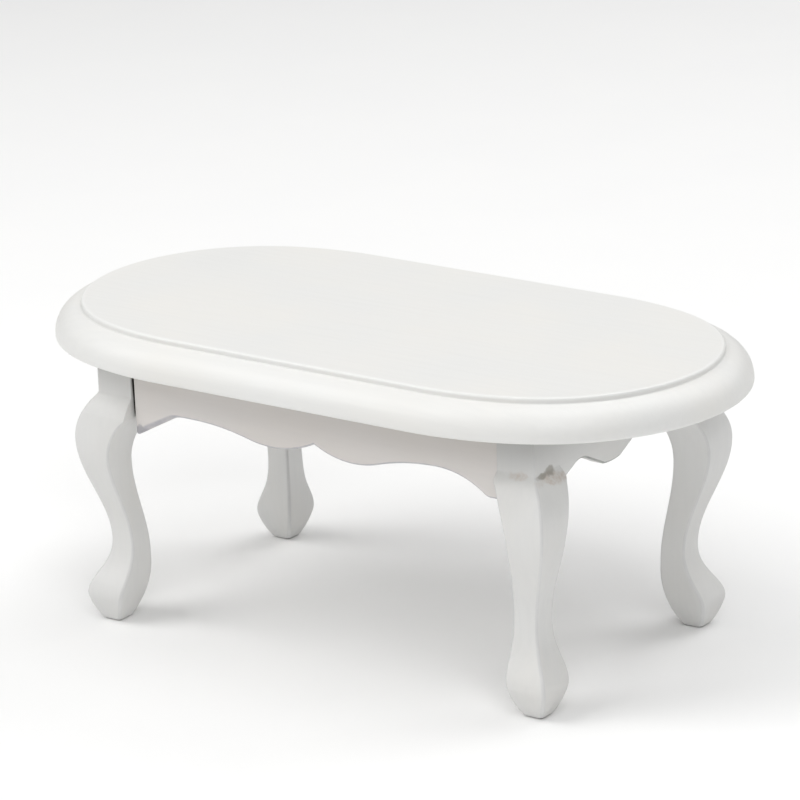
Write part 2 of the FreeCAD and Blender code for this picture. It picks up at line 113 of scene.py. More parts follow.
FLANK_HEAD_PLACE, FLANK_HEAD_RADIUS = 32.4 * MM, 7.0 * MM
FLANK_FOOT_PLACE, FLANK_FOOT_LEVEL = 42.4 * MM, 40.0 * MM
END_LOBE_SHIFT, END_LOBE_WIDTH = 2.6 * MM, 5.6 * MM
END_LOBE_LEVEL, END_TIP_LEVEL = 42.95 * MM, 43.2 * MM
END_ARCH_PLACE, END_ARCH_LEVEL, END_ARCH_RADIUS = 10.5 * MM, 46.95 * MM, 4.5 * MM
END_TAB_PLACE, END_TAB_LEVEL = 18.2 * MM, 43.4 * MM

# how far down the painted shade under the overhang of the top reaches
PAINTED_SHADE_DROP = 11.0 * MM

# paint tones, and how each wood grain runs as the squeeze of the pattern along X, Y and Z
# the top's arris tone is a little lighter than its white
TOP_WHITE, TOP_ARRIS = (0.83, 0.83, 0.815), (0.86, 0.86, 0.845)
# the last tone on the leg line and on the apron line is painted shade under the top
LEG_WHITE, LEG_ARRIS_TONE, LEG_PAINTED_SHADE = (0.77, 0.77, 0.76), (0.70, 0.70, 0.695), (0.45, 0.45, 0.44)
# the end apron arris tone and the grey apron arris tone are worn paint and painted shade on the lower edges
END_ARRIS_WEAR_AND_SHADE = (0.30, 0.30, 0.29)
APRON_WHITE, APRON_ARRIS_WEAR_AND_SHADE, APRON_PAINTED_SHADE = (0.78, 0.75, 0.73), (0.50, 0.49, 0.52), (0.56, 0.53, 0.50)
# painted shade at the left foot of the front apron
FOOT_PAINTED_SHADE = (0.42, 0.41, 0.44)
# near black inside the open joint: bare wood and painted shade
LEG_JOINT_WOOD_AND_SHADE, APRON_JOINT_WOOD_AND_SHADE = (0.04, 0.035, 0.03), (0.06, 0.05, 0.045)
# the fleck tone is glue and painted shade in the crevice over the front right knee
SMEAR_TONE, FLECK_GLUE_AND_SHADE = (0.52, 0.42, 0.34), (0.22, 0.20, 0.16)
SMEAR_STRENGTH, FRONT_SMEAR_STRENGTH, FLECK_STRENGTH = 0.55, 0.45, 0.6
GRAIN_LONG, GRAIN_UPRIGHT, GRAIN_LEVEL = (0.05, 1.0, 1.0), (1.0, 1.0, 0.06), (0.06, 0.06, 1.0)

# how the shade under the top fades along it, and how paint reaches into the open joint
SHADE_START, SHADE_END, SHADE_LEAST = -45 * MM, 50 * MM, 0.45
JOINT_REACH, PAINT_CREEP, CREEP_FADE = 0.04 * MM, 0.55 * MM, (-0.05 * MM, 0.2 * MM)

# pegs and their bores
BORE_RADIUS = 0.8 * MM
BORE_DEPTH = 4.3 * MM
BORE_WINDOW = 1.0 * MM
PEG_DEPTH = APRON_SETBACK + APRON_THICKNESS / 2
LONG_PEG_LEVEL = 51.5 * MM
END_PEG_LEVEL = 48.0 * MM
WINDOW_STEPS = (-BORE_WINDOW, -BORE_WINDOW / 2, 0.0, BORE_WINDOW / 2, BORE_WINDOW)

# the camera looks from the front right, from above, through a long lens
VIEW_AZIMUTH = math.radians(36.223)
VIEW_ELEVATION = math.radians(17.831)
VIEW_ROLL = math.radians(-1.891)
VIEW_DISTANCE = 0.88084
LOOK_AT = Vector((-0.00221, 0.00363, 0.04460))
LENS = 201.46

FLOOR_RADIUS = 4.0
BOX_SIZE = 1.0
ROOM_STRENGTH = 0.12
LIT_MIDDLE = Vector((0, 0, 0.03))


# ------------------------------------------------------------- mesh building

class Shell:
    """Collects points and quads for one mesh."""

    def __init__(self):
        self.points = []
        self.faces = []
        self.edge_share = []

    def ring(self, points, edge_share=0.0):
        """Add a run of points and give their numbers. edge_share says how much they lie on an arris."""
        first = len(self.points)
        self.points.extend(Vector(point) for point in points)
        shares = edge_share if isinstance(edge_share, list) else [edge_share] * len(points)
        self.edge_share.extend(shares)
        return list(range(first, len(self.points)))

    def bridge(self, lower, upper):
        """Join two closed rings of the same length with quads."""
        count = len(lower)
        for index in range(count):
            following = (index + 1) % count
            self.faces.append((lower[index], lower[following], upper[following], upper[index]))

    def shares(self, run):
        """Give how far along a run each of its points lies, from 0 to 1."""
        reached = [0.0]
        for before, after in zip(run, run[1:]):
            reached.append(reached[-1] + (self.points[after] - self.points[before]).length)
        return [distance / reached[-1] for distance in reached]

    def patch(self, bottom, right, top, left):
        """Fill the space inside four runs of points with quads that follow all four."""
        across, up = len(bottom) - 1, len(left) - 1
        corners = [self.points[n] for n in (bottom[0], bottom[-1], top[0], top[-1])]
        bottom_shares, top_shares = self.shares(bottom), self.shares(top)
        left_shares, right_shares = self.shares(left), self.shares(right)
        rows = [bottom]
        for row in range(1, up):
            inner = []
            for column in range(1, across):
                u = (bottom_shares[column] + top_shares[column]) / 2
                v = (1 - u) * left_shares[row] + u * right_shares[row]
                blend = (
                    (1 - v) * self.points[bottom[column]] + v * self.points[top[column]]
                    + (1 - u) * self.points[left[row]] + u * self.points[right[row]]
                    - (1 - u) * (1 - v) * corners[0] - u * (1 - v) * corners[1]
                    - (1 - u) * v * corners[2] - u * v * corners[3]
                )
                inner.append(blend)
            rows.append([left[row]] + self.ring(inner) + [right[row]])
        rows.append(top)
        for low, high in zip(rows, rows[1:]):
            for column in range(across):
                self.faces.append((low[column], low[column + 1], high[column + 1], high[column]))

    def cap(self, ring, across):
        """Fill a closed ring with a patch whose first side has the given number of quads."""
        up = len(ring) // 2 - across
        bottom = ring[:across + 1]
        right = ring[across:across + up + 1]
        top = ring[across + up:2 * across + up + 1][::-1]
        left = (ring[2 * across + up:] + ring[:1])[::-1]
        self.patch(bottom, right, top, left)


def finish_piece(name, shell, bores, material, nodes):
    """Turn a shell into a smooth mesh object that rides on the table and stands for CAD nodes."""
    mesh = bpy.data.meshes.new(name)
    mesh.from_pydata(shell.points, [], shell.faces)
    worn = mesh.attributes.new("arris", "FLOAT", "POINT")
    worn.data.foreach_set("value", shell.edge_share)
    work = bmesh.new()
    work.from_mesh(mesh)
    bmesh.ops.recalc_face_normals(work, faces=work.faces)
    for mouth, direction in bores:
        drill(work, mouth, direction)
    work.to_mesh(mesh)
    work.free()
    mesh.shade_smooth()
    piece = bpy.data.objects.new(name, mesh)
    bpy.context.scene.collection.objects.link(piece)
    weighted = piece.modifiers.new("even_flats", "WEIGHTED_NORMAL")
    weighted.weight = 100
    weighted.keep_sharp = True
    mesh.materials.append(material)
    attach(piece, "root")
    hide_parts(*nodes)
    return piece


def drill(work, mouth, direction):
    """Sink a round blind bore into a flat grid of quads, with a ring of quads round its mouth."""
    side = direction.orthogonal().normalized()
    other = direction.cross(side)
    reach = BORE_WINDOW

    def in_window(face):
        away = face.calc_center_median() - mouth
        flat = abs(away.dot(direction)) < 0.01 * MM and abs(face.normal.dot(direction)) > 0.9
        return flat and abs(away.x) < reach and abs(away.y) < reach and abs(away.z) < reach

    window = [face for face in work.faces if in_window(face)]
    chosen = set(window)
    rim = {}
    for face in window:
        for edge in face.edges:
            if sum(linked in chosen for linked in edge.link_faces) == 1:
                for vert in edge.verts:
                    away = vert.co - mouth
                    rim[vert] = math.atan2(away.dot(other), away.dot(side))
    bmesh.ops.delete(work, geom=window, context="FACES")
    loops = [sorted(rim, key=rim.get)]
    angles = [rim[vert] for vert in loops[0]]
    for depth in (0.0, BORE_DEPTH):
        centre = mouth + direction * depth
        spokes = [centre + BORE_RADIUS * (math.cos(a) * side + math.sin(a) * other) for a in angles]
        loops.append([work.verts.new(spoke) for spoke in spokes])
    made = []
    count = len(angles)
    for outer, inner in zip(loops, loops[1:]):
        for index in range(count):
            following = (index + 1) % count
            quad = (outer[index], outer[following], inner[following], inner[index])
            made.append(work.faces.new(quad))
    made.append(work.faces.new(loops[-1]))
    for edge in {edge for face in made[count:2 * count] for edge in face.edges}:
        if edge.verts[0] in loops[1] and edge.verts[1] in loops[1]:
            edge.smooth = False
    bmesh.ops.recalc_face_normals(work, faces=work.faces)


def spread(low, high, count):
    """Give count + 1 numbers from low to high, evenly spaced."""
    return [low + (high - low) * step / count for step in range(count + 1)]


# ---------------------------------------------------------------- top board

def racetrack():
    """Give places on the outline of the top and their outward directions.

    They come as the front run, the right end, the back run and the left end, all anticlockwise.
    """
    low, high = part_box("table_top")
    half_length, half_width = high.x, high.y
    turn = math.acos((SHOULDER_RADIUS - half_width) / (SHOULDER_RADIUS - NOSE_RADIUS))
    nose_centre = half_length - NOSE_RADIUS
    straight_end = nose_centre - (SHOULDER_RADIUS - NOSE_RADIUS) * math.sin(turn)
    shoulder_centre = half_width - SHOULDER_RADIUS

    def arc(centre_x, centre_y, radius, angles):
        return [
            (Vector((centre_x + radius * math.cos(a), centre_y + radius * math.sin(a), 0)),
             Vector((math.cos(a), math.sin(a), 0)))
            for a in angles
        ]

    down = Vector((0, -1, 0))
    left_nose = arc(-nose_centre, 0, NOSE_RADIUS, spread(math.pi + END_TURN, 3 * QUARTER - turn, NOSE_STEPS))
    turns = spread(3 * QUARTER - turn, 3 * QUARTER, SHOULDER_STEPS)
    left_shoulder = arc(-straight_end, -shoulder_centre, SHOULDER_RADIUS, turns)
    places = spread(-straight_end, straight_end, STRAIGHT_STEPS)
    straight = [(Vector((x, -half_width, 0)), down) for x in places]
    turns = spread(-QUARTER, turn - QUARTER, SHOULDER_STEPS)
    right_shoulder = arc(straight_end, -shoulder_centre, SHOULDER_RADIUS, turns)
    right_nose = arc(nose_centre, 0, NOSE_RADIUS, spread(turn - QUARTER, -END_TURN, NOSE_STEPS))
    front = left_nose[:-1] + left_shoulder[:-1] + straight[:-1] + right_shoulder[:-1] + right_nose
    right = arc(nose_centre, 0, NOSE_RADIUS, spread(-END_TURN, END_TURN, END_STEPS))
    back = [(Vector((-p.x, -p.y, 0)), -n) for p, n in front]
    left = [(Vector((-p.x, -p.y, 0)), -n) for p, n in right]
    return front, right, back, left


def top_profile(thickness):
    """Give the moulding as (inset, level, share on an arris) from the underside to the panel."""
    rim_height = thickness - PANEL_RISE
    rows = [(margin, 0.0, 0.0) for margin in UNDERSIDE_MARGINS]
    for a in spread(0, QUARTER, 5):
        inset, level = UNDERSIDE_ROUND * (1 - math.sin(a)), UNDERSIDE_ROUND * (1 - math.cos(a))
        rows.append((inset, level, UNDERSIDE_ARRIS_SHARE))
    round_start = rim_height - RIM_ROUND
    steepest = math.acos(STEP_FILLET / RIM_ROUND)
    for a in spread(0, steepest, 22):
        rows.append((RIM_ROUND * (1 - math.cos(a)), round_start + RIM_ROUND * math.sin(a), 0.0))
    last_inset, last_level, _ = rows[-1]
    for a in spread(0, QUARTER, 5)[1:]:
        inset = last_inset + (RIM_INSET - last_inset) * math.sin(a)
        rows.append((inset, last_level + STEP_FILLET * (1 - math.cos(a)), GROOVE_SHADE))
    rows.append((RIM_INSET, thickness - PANEL_ROUND - STEP_MARGIN, 0.0))
    for a in spread(0, QUARTER, 6):
        rows.append((
            RIM_INSET + PANEL_ROUND * (1 - math.cos(a)),
            thickness - PANEL_ROUND * (1 - math.sin(a)),
            PANEL_ARRIS_SHARE,
        ))
    return rows + [(RIM_INSET + margin, thickness, 0.0) for margin in PANEL_MARGINS]


def make_top(material):
    """Make the top board: a raised panel inside a quarter-round rim, with a soft step between."""
    low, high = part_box("table_top")
    front, right, back, left = racetrack()
    outline = front[:-1] + right[:-1] + back[:-1] + left[:-1]
    shell = Shell()
    rings = []
    for inset, level, share in top_profile(high.z - low.z):
        points = [place - inset * outward + Vector((0, 0, low.z + level)) for place, outward in outline]
        rings.append(shell.ring(points, share))
    for lower, upper in zip(rings, rings[1:]):
        shell.bridge(lower, upper)
    shell.cap(rings[0], len(front) - 1)
    shell.cap(rings[-1], len(front) - 1)
    return finish_piece("table_top_board", shell, [], material, ["table_top"])


# --------------------------------------------------------------------- legs

def circle_through(first, middle, last):
    """Give the centre and radius of the circle through three (depth, level) points."""
    (ax, ay), (bx, by), (cx, cy) = first, middle, last
    twice_area = 2 * (ax * (by - cy) + bx * (cy - ay) + cx * (ay - by))
    a2, b2, c2 = ax * ax + ay * ay, bx * bx + by * by, cx * cx + cy * cy
    centre_x = (a2 * (by - cy) + b2 * (cy - ay) + c2 * (ay - by)) / twice_area
    centre_y = (a2 * (cx - bx) + b2 * (ax - cx) + c2 * (bx - ax)) / twice_area
    return centre_x, centre_y, math.hypot(ax - centre_x, ay - centre_y)


def arc_depth(first, middle, last, level):
    """Give the depth at one level on the arc through three points."""
    centre_x, centre_y, radius = circle_through(first, middle, last)
    half_chord = math.sqrt(max(radius ** 2 - (level - centre_y) ** 2, 0))
    return centre_x + math.copysign(half_chord, middle[0] - centre_x)


def s_curve_depth(first, last, first_pull, last_pull, level):
    """Give the depth at one level on a curve that leaves and arrives upright."""
    share = (level - first[1]) / (last[1] - first[1])
    low, high = 0.0, 1.0
    for _ in range(40):
        t = (low + high) / 2
        risen = 3 * (1 - t) ** 2 * t * first_pull + 3 * (1 - t) * t ** 2 * (1 - last_pull) + t ** 3
        if risen < share:
            low = t
        else:
            high = t
    across = 3 * t ** 2 - 2 * t ** 3
    return first[0] + (last[0] - first[0]) * across


class LegShape:
    """The outline that was sawn for the left or the right pair of legs, as depths at each level."""

    def __init__(self, knee_reach, waist_level, bracket_radius):
        self.knee_reach = knee_reach
        self.waist_level = waist_level
        self.bracket_radius = bracket_radius
        run = POST_SIZE - WAIST_DEPTH
        self.bracket_top = waist_level + math.sqrt(bracket_radius ** 2 - (bracket_radius - run) ** 2)

    def outer_depth(self, level):
        """Give how far the outer side of the leg lies in from the outer face of its post."""
        knee, ankle = (-self.knee_reach, KNEE_LEVEL), (ANKLE_DEPTH, ANKLE_LEVEL)
        toe = (-TOE_REACH, TOE_LEVEL)
        if level >= POST_FOOT:
            return 0.0
        if level >= KNEE_LEVEL:
            drop = POST_FOOT - KNEE_LEVEL
            radius = (self.knee_reach ** 2 + drop ** 2) / (2 * self.knee_reach)
            return radius - self.knee_reach - math.sqrt(radius ** 2 - (level - KNEE_LEVEL) ** 2)
        if level >= ANKLE_LEVEL:
            return s_curve_depth(knee, ankle, GENTLE_PULL, GENTLE_PULL, level)
        if level >= TOE_LEVEL:
            return s_curve_depth(ankle, toe, ANKLE_PULL, TOE_PULL, level)
        return arc_depth(toe, (-TOE_UNDER_REACH, TOE_UNDER_LEVEL), (-SOLE_REACH, 0), level)

    def inner_depth(self, level):
        """Give how far the inner side of the leg lies in from the outer face of its post."""
        heel, waist = (HEEL_DEPTH, HEEL_LEVEL), (WAIST_DEPTH, self.waist_level)
        if level >= self.bracket_top:
            return POST_SIZE
        if level >= self.waist_level:
            rise = level - self.waist_level
            return WAIST_DEPTH + self.bracket_radius - math.sqrt(self.bracket_radius ** 2 - rise ** 2)
        if level >= HEEL_LEVEL:
            return s_curve_depth(heel, waist, GENTLE_PULL, GENTLE_PULL, level)
        return arc_depth((SOLE_DEPTH, 0), (HEEL_BEND_DEPTH, HEEL_BEND_LEVEL), heel, level)

    def levels(self, frame_top):
        """Give the levels of the leg's sections, close together where the shape turns quickly."""
        found = [SOLE_ARRIS * (1 - math.cos(a)) for a in spread(0, QUARTER, 5)]
        found += spread(SOLE_ARRIS, TOE_LEVEL + TOE_RUN, 12)[1:]
        found += spread(TOE_LEVEL + TOE_RUN, self.bracket_top - 2 * CREASE_EASE, 44)[1:]
        found += spread(self.bracket_top - CREASE_EASE, self.bracket_top + CREASE_EASE, 6)
        found += spread(self.bracket_top + CREASE_EASE, POST_FOOT - CREASE_EASE, 3)[1:-1]
        window = [END_PEG_LEVEL + step for step in WINDOW_STEPS]
        crease = spread(POST_FOOT - CREASE_EASE, POST_FOOT + CREASE_EASE, 8)
        found += [level for level in crease if all(abs(level - w) > CLOSEST_ROWS for w in window)]
        found += window
        found += [BETWEEN_PEGS] + [LONG_PEG_LEVEL + step for step in WINDOW_STEPS]
        found += ABOVE_PEGS + [frame_top]
        return sorted(found)

    def section(self, level):
        """Give one section of the leg as (x depth, y depth, share on an arris), anticlockwise."""
        near_side = eased(self.outer_depth, POST_FOOT, level)
        far_side = eased(self.inner_depth, self.bracket_top, level)
        foot_share = min(max((ANKLE_LEVEL - level) / ANKLE_LEVEL, 0), 1)
        post_share = min(max((level - POST_FOOT + 2 * MM) / (2 * MM), 0), 1)
        arris = LEG_ARRIS + (FOOT_ARRIS - LEG_ARRIS) * foot_share
        arris += (POST_ARRIS - LEG_ARRIS) * post_share
        joint_share = min(max((level - self.bracket_top + MM) / MM, 0), 1)
        beside_apron = arris + (JOINT_ARRIS - arris) * joint_share
        if level < SOLE_ARRIS:
            lifted = SOLE_ARRIS - math.sqrt(SOLE_ARRIS ** 2 - (SOLE_ARRIS - level) ** 2)
            near_side += lifted
            far_side -= lifted
        post_places = [PEG_DEPTH + step for step in WINDOW_STEPS] + PAST_BORES
        flat = POST_SIZE - POST_ARRIS - JOINT_ARRIS
        shares = [0.0] + [(place - JOINT_ARRIS) / flat for place in post_places] + [1.0]

        def run(start, end):
            return [start + (end - start) * share for share in shares]

        outer_run = run(near_side + arris, far_side - beside_apron)
        inner_run = run(near_side + beside_apron, far_side - arris)
        turns = spread(0, QUARTER, 5)[1:-1]

        def corner(centre_x, centre_y, radius, start):
            return [
                (centre_x + radius * math.cos(start + a), centre_y + radius * math.sin(start + a), 1.0)
                for a in turns
            ]

        section = [(place, near_side, 0.0) for place in outer_run]
        section += corner(outer_run[-1], inner_run[0], beside_apron, -QUARTER)
        section += [(far_side, place, 0.0) for place in inner_run]
        section += corner(inner_run[-1], inner_run[-1], arris, 0)
        section += [(place, far_side, 0.0) for place in inner_run[::-1]]
        section += corner(inner_run[0], outer_run[-1], beside_apron, QUARTER)
        section += [(near_side, place, 0.0) for place in outer_run[::-1]]
        section += corner(outer_run[0], outer_run[0], arris, 2 * QUARTER)
        return section


def eased(depth, corner, level):
    """Round a corner of a depth curve over a short height either side of it."""
    low, high = corner - CREASE_EASE, corner + CREASE_EASE
    if not low < level < high:
        return depth(level)
    nudge = 0.01 * MM
    span = high - low
    start, end = depth(low), depth(high)
    start_slope = (start - depth(low - nudge)) / nudge
    end_slope = (depth(high + nudge) - end) / nudge
    t = (level - low) / span
    return (
        start * (1 + 2 * t) * (1 - t) ** 2 + start_slope * span * t * (1 - t) ** 2
        + end * t ** 2 * (3 - 2 * t) - end_slope * span * t ** 2 * (1 - t)
    )


LEFT_LEGS = LegShape(knee_reach=3.7 * MM, waist_level=33.2 * MM, bracket_radius=14.5 * MM)
RIGHT_LEGS = LegShape(knee_reach=4.3 * MM, waist_level=34.5 * MM, bracket_radius=18.0 * MM)


def make_leg(name, side_x, side_y, material):
    """Make one leg as a stack of square sections with soft arrises, and drill its two peg bores."""
    low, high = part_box(name)
    corner_x = side_x * (POST_SIZE + inner_face(low.x, high.x, side_x))
    corner_y = side_y * (POST_SIZE + inner_face(low.y, high.y, side_y))

    def place(depth_x, depth_y, level):
        return Vector((corner_x - side_x * depth_x, corner_y - side_y * depth_y, level))

    shape = LEFT_LEGS if side_x < 0 else RIGHT_LEGS
    shell = Shell()
    rings = []
    for level in shape.levels(high.z):
        section = shape.section(level)
        points = [place(x, y, level) for x, y, share in section]
        rings.append(shell.ring(points, [share for x, y, share in section]))
    for lower, upper in zip(rings, rings[1:]):
        shell.bridge(lower, upper)
    quarter_count = len(rings[0]) // 4
    offset = quarter_count - 2
    for ring in (rings[0], rings[-1]):
        turned = ring[offset:] + ring[:offset]
        shell.cap(turned, quarter_count)
    bores = [
        (place(POST_SIZE, PEG_DEPTH, LONG_PEG_LEVEL), Vector((side_x, 0, 0))),
        (place(PEG_DEPTH, POST_SIZE, END_PEG_LEVEL), Vector((0, side_y, 0))),
    ]
    return finish_piece(name + "_carved", shell, bores, material, [name])


def inner_face(low, high, side):
    """Give how far the inner face of a post lies from the middle of the table."""
    return (low if side > 0 else -high)


# ------------------------------------------------------------------- aprons

def ogee(low, high, low_radius):
    """Join a low level point to a high level point with two arcs that meet smoothly."""
    run = high[0] - low[0]
    rise = high[1] - low[1]
    both_radii = (run ** 2 + rise ** 2) / (2 * rise)
    share = low_radius / both_radii
    turn = math.asin(abs(run) / both_radii)
    side = math.copysign(1, run)
    high_radius = both_radii - low_radius
    half_sine = side * math.sin(turn / 2)
    half_drop = 1 - math.cos(turn / 2)
    meeting = (low[0] + share * run, low[1] + share * rise)
    low_middle = (low[0] + low_radius * half_sine, low[1] + low_radius * half_drop)
    high_middle = (high[0] - high_radius * half_sine, high[1] - high_radius * half_drop)
    return [[low, low_middle, meeting], [meeting, high_middle, high]]


def backwards(pieces):
    """Run curve pieces the other way."""
    return [piece[::-1] for piece in pieces[::-1]]


def mirrored(pieces, middle):
    """Mirror curve pieces across an upright line and run them the other way."""
    return [[(2 * middle - along, level) for along, level in piece] for piece in backwards(pieces)]


def falling_arc(notch, lobe):
    """Draw the arc that falls from a notch and arrives level at a lobe; give its radius too."""
    run = lobe[0] - notch[0]
    drop = notch[1] - lobe[1]
    radius = (run ** 2 + drop ** 2) / (2 * drop)
    half_turn = math.asin(run / radius) / 2
    middle = (lobe[0] - radius * math.sin(half_turn), lobe[1] + radius * (1 - math.cos(half_turn)))
    return [notch, middle, lobe], radius


def eased_line(stops, radii):
    """Join stops with straights, and ease each corner between them with an arc of its own radius."""
    points = [Vector(stop) for stop in stops]
    pieces = []
    start = stops[0]
    for before, corner, after, radius in zip(points, points[1:], points[2:], radii):
        back, onward = (before - corner).normalized(), (after - corner).normalized()
        inward = (back + onward).normalized()
        half_angle = back.angle(onward) / 2
        cut = radius / math.tan(half_angle)
        sagitta = radius * (1 / math.sin(half_angle) - 1)
        arc = [corner + back * cut, corner + inward * sagitta, corner + onward * cut]
        arc = [tuple(point) for point in arc]
        pieces += [[start, arc[0]], arc]
        start = arc[-1]
    return pieces + [[start, stops[-1]]]


def long_apron_edge(half_length, left_gap):
    """Give the lower edge of a long apron: a cusped notch, with a lobe and an arch on each side.

    The right arch falls to a level tab, and the left one in a straight flank to the end.
    """
    notch = (NOTCH_PLACE, NOTCH_LEVEL)
    lobe, arch, tab = (LOBE_PLACE, LOBE_LEVEL), (ARCH_PLACE, ARCH_LEVEL), (TAB_PLACE, TAB_LEVEL)
    fall, lobe_radius = falling_arc(notch, lobe)
    right_half = [fall] + ogee(lobe, arch, lobe_radius)
    right_half += backwards(ogee(tab, arch, TAB_RADIUS)) + [[tab, (half_length, TAB_LEVEL)]]

    lobe, arch = (-LEFT_LOBE_PLACE, LOBE_LEVEL), (-LEFT_ARCH_PLACE, LEFT_ARCH_LEVEL)
    fall, lobe_radius = falling_arc(notch, lobe)
    left_half = [fall] + ogee(lobe, arch, lobe_radius)
    head, foot = (-FLANK_HEAD_PLACE, LEFT_ARCH_LEVEL), (-FLANK_FOOT_PLACE, FLANK_FOOT_LEVEL)
    slope = (head[1] - foot[1]) / (head[0] - foot[0])
    left_end = left_gap - half_length
    end = (left_end, foot[1] + slope * (left_end - foot[0]))
    if left_gap:
        above_end = (left_end, LEFT_ARCH_LEVEL)
        stops = [arch, head, end, above_end]
        left_half += eased_line(stops, [FLANK_HEAD_RADIUS, APRON_CORNER])[:-1]
    else:
        left_half += eased_line([arch, head, end], [FLANK_HEAD_RADIUS])
    return backwards(left_half) + right_half


def end_apron_edge(half_length):
    """Give the lower edge of an end apron: a shallow lobe, a little off the middle, between two arches."""
    middle = -END_LOBE_SHIFT
    tip = (middle + END_LOBE_WIDTH / 2, END_TIP_LEVEL)
    other_tip = (middle - END_LOBE_WIDTH / 2, END_TIP_LEVEL)
    crown = (middle + END_ARCH_PLACE, END_ARCH_LEVEL)
    tab = (middle + END_TAB_PLACE, END_TAB_LEVEL)
    half = eased_line([tip, crown, tab], [END_ARCH_RADIUS])
    left_half = mirrored(half, middle)
    (first_along, first_level), (last_along, last_level) = left_half[0]
    slope = (last_level - first_level) / (last_along - first_along)
    left_half[0][0] = (-half_length, first_level + slope * (-half_length - first_along))
    lobe = [other_tip, (middle, END_LOBE_LEVEL), tip]
    return left_half + [lobe] + half + [[tab, (half_length, END_TAB_LEVEL)]]


def sampled(pieces):
    """Turn straights and three-point arcs into a run of places, about a millimetre apart."""
    places = [pieces[0][0]]
    for piece in pieces:
        first, last = piece[0], piece[-1]
        chord = math.hypot(last[0] - first[0], last[1] - first[1])
        if len(piece) == 2:
            for share in spread(0, 1, max(2, round(chord / MM)))[1:]:
                places.append(tuple(a + (b - a) * share for a, b in zip(first, last)))
            continue
        centre_x, centre_y, radius = circle_through(*piece)
        start, middle, end = (math.atan2(y - centre_y, x - centre_x) for x, y in piece)
        turn = math.remainder(middle - start, math.tau) + math.remainder(end - middle, math.tau)
        for a in spread(start, start + turn, max(6, round(chord / (0.9 * MM))))[1:]:
            places.append((centre_x + radius * math.cos(a), centre_y + radius * math.sin(a)))
    return places


def end_levels(low, high, peg_level):
    """Give the levels of the rows of quads at the end of an apron, with a window for its bore."""
    below = [low] + spread(low + ROW_ABOVE_ARRIS, peg_level - BORE_WINDOW, 6)
    above = spread(peg_level + BORE_WINDOW, high, 5)
    return below[:-1] + [peg_level + step for step in WINDOW_STEPS] + above[1:]


def inward_directions(loop):
    """Give the inward mitre at each corner of an anticlockwise loop of (along, level) places."""
    directions = []
    count = len(loop)
    for index in range(count):
        before, here, after = (Vector(loop[n % count]) for n in (index - 1, index, index + 1))
        first, second = (here - before).normalized(), (after - here).normalized()
        normals = [Vector((-edge.y, edge.x)) for edge in (first, second)]
        mitre = (normals[0] + normals[1]).normalized()
        directions.append(mitre / max(mitre.dot(normals[0]), 0.5))
    return directions


def worn_arris(along):
    """Give the arris under the front apron: much rounder down its left flank, up to the end corner."""
    share = min(max((along + FLANK_HEAD_PLACE + FLANK_EASE) / (2 * FLANK_EASE), 0), 1)
    down = max((-FLANK_HEAD_PLACE - along) / (FLANK_FOOT_PLACE - FLANK_HEAD_PLACE), 0)
    worn = WORN_ARRIS + (END_WORN_ARRIS - WORN_ARRIS) * min(down, 1)
    worn += (LOWER_ARRIS - worn) * share
    corner = -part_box("long_apron_front")[0].x - APRON_CORNER
    past = min(max((corner + along) / WORN_FADE, 0), 1)
    return CORNER_ARRIS + (worn - CORNER_ARRIS) * past


def even_arris(along):
    """Give the arris under the other aprons, the same all along."""
    return LOWER_ARRIS


def make_apron(name, edge, peg_level, place, along_axis, lower_arris, material):
    """Make an apron: a scalloped board with soft arrises and a peg bore in each end.

    place turns (along, level, depth behind the outer face) into a point, and lower_arris gives
    the radius of the arris at each place along the sawn lower edge.
    """
    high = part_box(name)[1]
    bottom = sampled(edge)
    even = spread(bottom[0][0], bottom[-1][0], len(bottom) - 1)
    top = [((along + even_along) / 2, high.z) for (along, level), even_along in zip(bottom, even)]
    right = [(bottom[-1][0], level) for level in end_levels(bottom[-1][1], high.z, peg_level)]
    left = [(bottom[0][0], level) for level in end_levels(bottom[0][1], high.z, peg_level)]
    loop = bottom[:-1] + right[:-1] + top[::-1][:-1] + left[::-1][:-1]
    inward = inward_directions(loop)
    arrises = []
    for index, (along, level) in enumerate(loop):
        end_level = bottom[0][1] if along < 0 else bottom[-1][1]
        share = 0.0 if index < len(bottom) else min((level - end_level) / ARRIS_FADE, 1)
        arrises.append(lower_arris(along) * (1 - share) + END_ARRIS * share)

    def loop_at(turn, depth_sign):
        """One ring round the board, where turn runs from the flat face to the sawn edge."""
        points = []
        for (along, level), direction, arris in zip(loop, inward, arrises):
            shift = arris * (1 - math.sin(turn))
            sunk = arris * (1 - math.cos(turn))
            depth = sunk if depth_sign > 0 else APRON_THICKNESS - sunk
            points.append(place(along + shift * direction.x, level + shift * direction.y, depth))
        return points

    shell = Shell()
    turns = spread(0, QUARTER, 4)
    rings = [shell.ring(loop_at(turn, 1), 1.0 if 0 < turn < QUARTER else 0.0) for turn in turns]
    middle = APRON_THICKNESS / 2
    for step in WINDOW_STEPS:
        share = (middle + step - END_ARRIS) / (APRON_THICKNESS - 2 * END_ARRIS)
        points = []
        for (along, level), arris in zip(loop, arrises):
            points.append(place(along, level, arris + (APRON_THICKNESS - 2 * arris) * share))
        rings.append(shell.ring(points))
    rings += [shell.ring(loop_at(turn, -1), 1.0 if 0 < turn < QUARTER else 0.0) for turn in turns[::-1]]
    for lower, upper in zip(rings, rings[1:]):
        shell.bridge(lower, upper)
    for ring in (rings[0], rings[-1]):
        shell.cap(ring, len(bottom) - 1)
    bores = []
    for end, sign in ((bottom[0][0], 1), (bottom[-1][0], -1)):
        bores.append((place(end, peg_level, middle), along_axis * sign))
    return finish_piece(name + "_sawn", shell, bores, material, [name])


